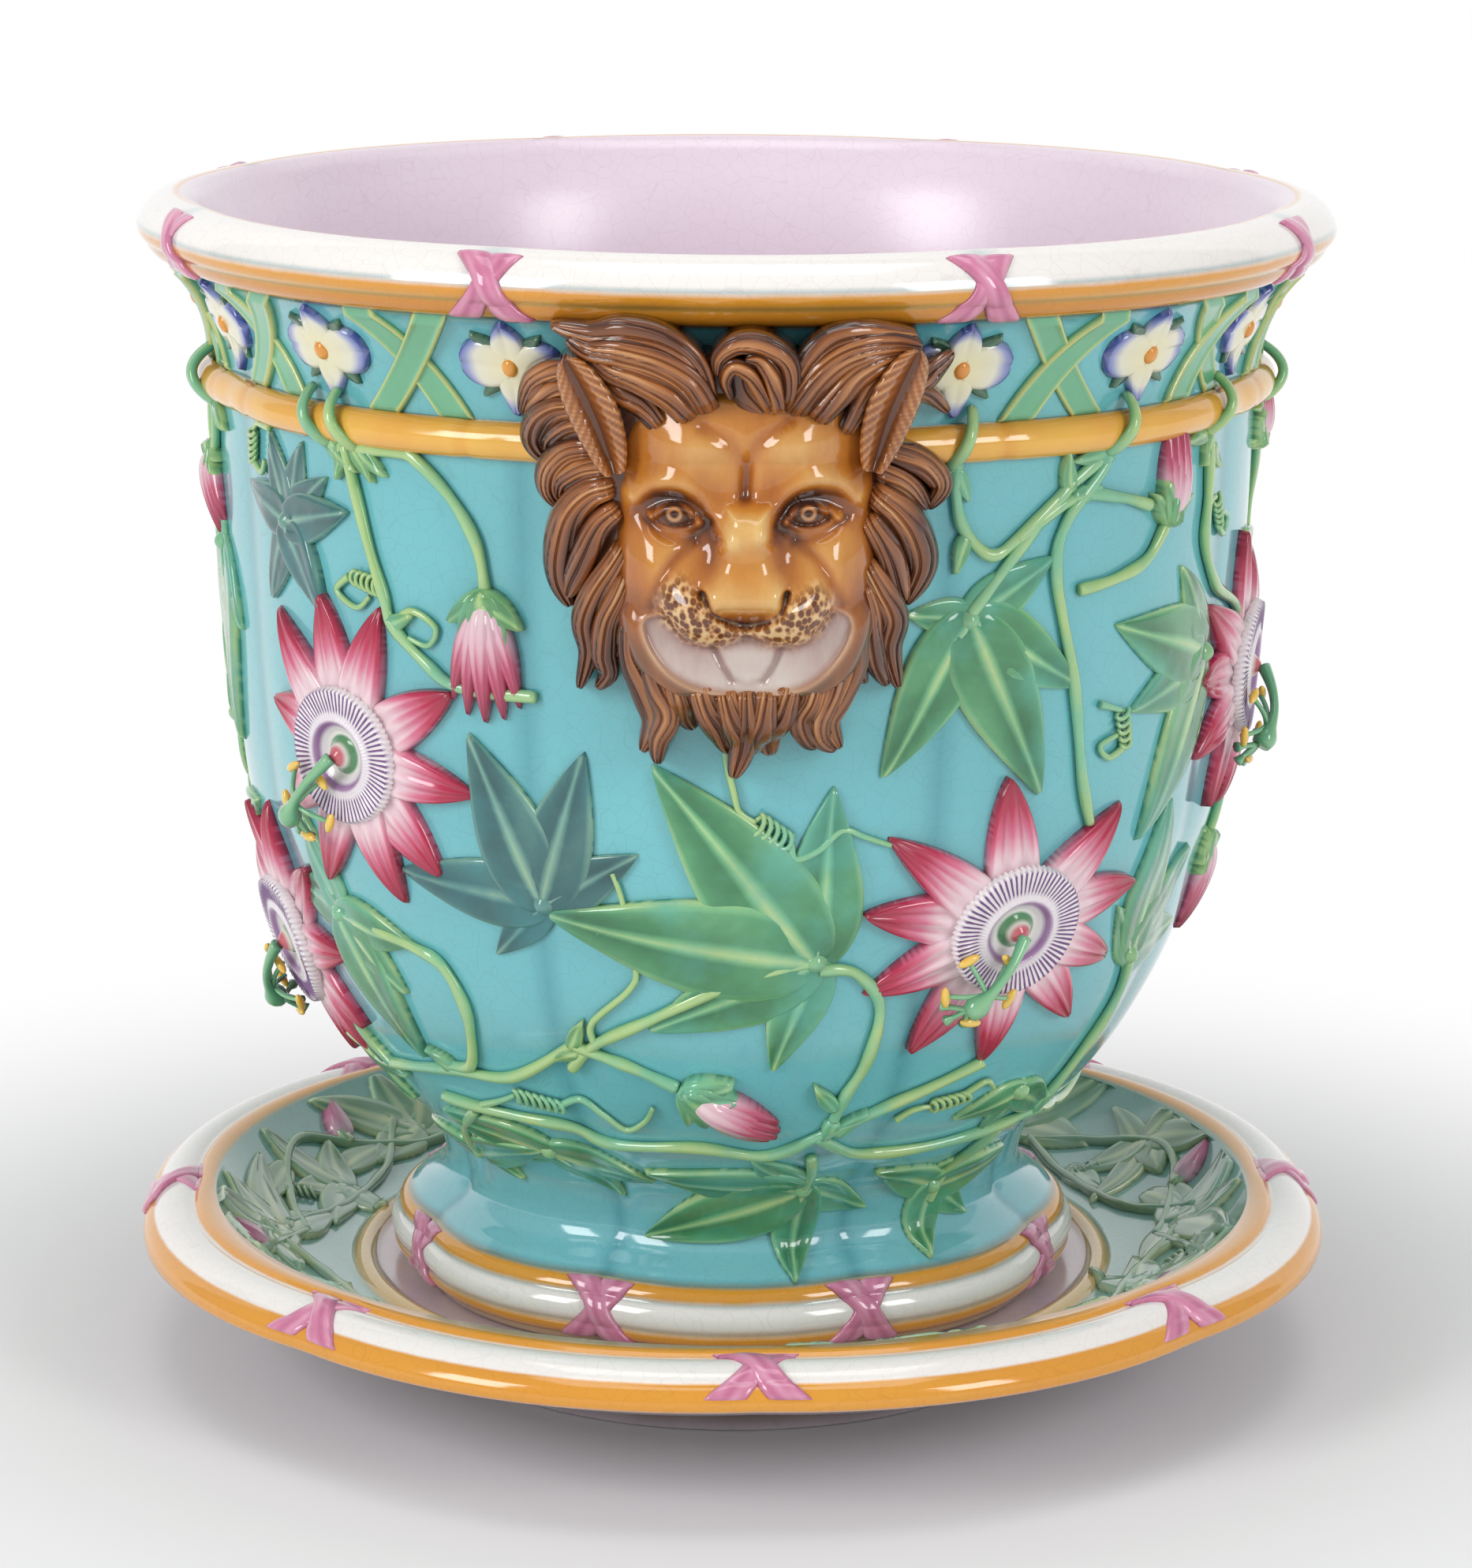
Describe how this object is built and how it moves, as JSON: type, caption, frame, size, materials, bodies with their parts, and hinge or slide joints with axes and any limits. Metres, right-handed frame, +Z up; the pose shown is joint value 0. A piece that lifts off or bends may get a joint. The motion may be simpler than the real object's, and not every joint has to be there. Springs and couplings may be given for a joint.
{
  "type": "cachepot on stand",
  "caption": "Large round glazed earthenware cachepot with lobed walls, lion masks and climbing foliage in relief, on its own matching dish stand.",
  "frame": {"origin": "middle of the stand's foot ring, on the floor", "axes": "+Z up along the axis of the pot and stand; the front lion mask looks along -Y"},
  "size_m": [0.4722, 0.4858, 0.4595],
  "materials": {
    "cane_band": "ochre gloss majolica glaze",
    "climbing_vines": "yellow green gloss glaze",
    "coronas": "white gloss glaze with purple rays",
    "flower_buds": "mauve gloss glaze",
    "frieze_flowers": "blue gloss glaze with an orange eye",
    "lion_face_back": "honey amber gloss glaze",
    "lion_face_front": "honey amber gloss glaze",
    "lion_mane_back": "brown gloss glaze",
    "lion_mane_front": "brown gloss glaze",
    "palmate_leaves": "green gloss glaze",
    "passion_flowers": "crimson to white gloss glaze",
    "pot_body": "turquoise gloss majolica glaze, lilac inside",
    "stamen_columns": "green gloss glaze with yellow tips",
    "stand_dish": "grey turquoise gloss majolica glaze",
    "stand_leaves": "sage gloss glaze"
  },
  "bodies": {
    "stand": {"stand_dish": "stand_dish", "stand_leaves": "stand_leaves"},
    "pot": {"pot_body": "pot_body", "cane_band": "cane_band", "lion_face_front": "lion_face_front", "lion_face_back": "lion_face_back", "lion_mane_front": "lion_mane_front", "lion_mane_back": "lion_mane_back", "passion_flowers": "passion_flowers", "coronas": "coronas", "stamen_columns": "stamen_columns", "flower_buds": "flower_buds", "palmate_leaves": "palmate_leaves", "climbing_vines": "climbing_vines", "frieze_flowers": "frieze_flowers"}
  },
  "joints": [
    {"name": "pot_lift", "type": "slide", "parent": "stand", "child": "pot", "axis": [0, 0, 1], "range_m": [0, 0.15]}
  ]
}
